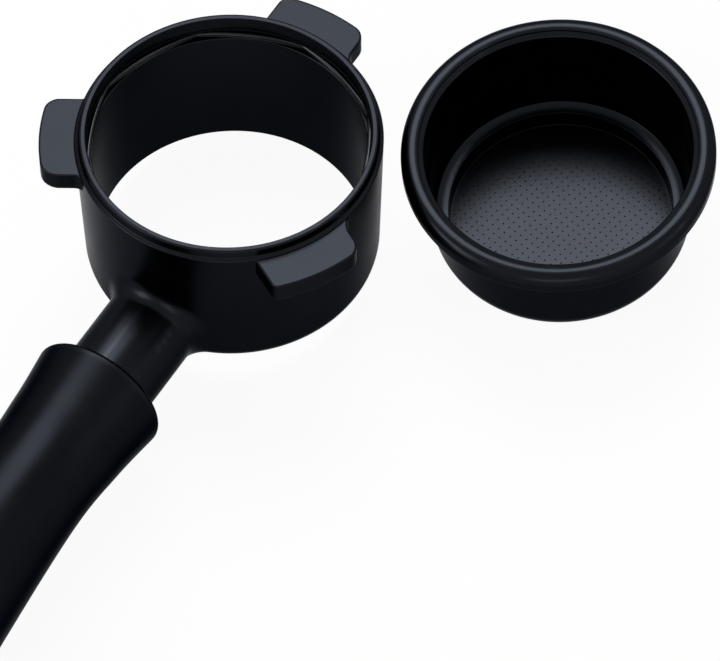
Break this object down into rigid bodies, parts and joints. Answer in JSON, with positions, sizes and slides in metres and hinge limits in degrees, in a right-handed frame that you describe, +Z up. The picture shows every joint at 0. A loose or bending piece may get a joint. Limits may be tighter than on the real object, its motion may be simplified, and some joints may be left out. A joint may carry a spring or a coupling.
{
  "type": "bottomless portafilter",
  "caption": "Matte black bottomless portafilter with three locking lugs and a swelling handle, its perforated filter basket taken out and stood beside it.",
  "frame": {"origin": "bottom centre of the bounding box of the holder and the basket, on the worktop", "axes": "+Z up, handle towards -Y, basket towards +X and +Y of the ring; the ring's own axis leans 5.3 degrees from +Z towards +Y, because the holder lies on its grip's mouth"},
  "size_m": [0.1242, 0.2378, 0.0416],
  "materials": {
    "black_coat": "satin black coating, fine-grained",
    "basket_coat": "satin black coating on pressed steel",
    "black_plastic": "satin black moulding, slightly soft to the touch",
    "black_rubber": "matt",
    "spring_steel": "blackened drawn wire",
    "zinc_steel": "zinc plated"
  },
  "bodies": {
    "holder": {"holder_body": "black_coat", "retaining_spring": "spring_steel", "handle_grip": "black_plastic", "neck_seal": "black_rubber", "tie_bolt": "zinc_steel", "flat_washer": "zinc_steel", "spring_washer": "zinc_steel", "end_cap": "black_plastic"},
    "basket": {"filter_basket": "basket_coat"}
  },
  "joints": [
    {"name": "basket_lift", "type": "slide", "parent": "holder", "child": "basket", "axis": [0, 0, 1], "range_m": [0, 0.06]}
  ]
}
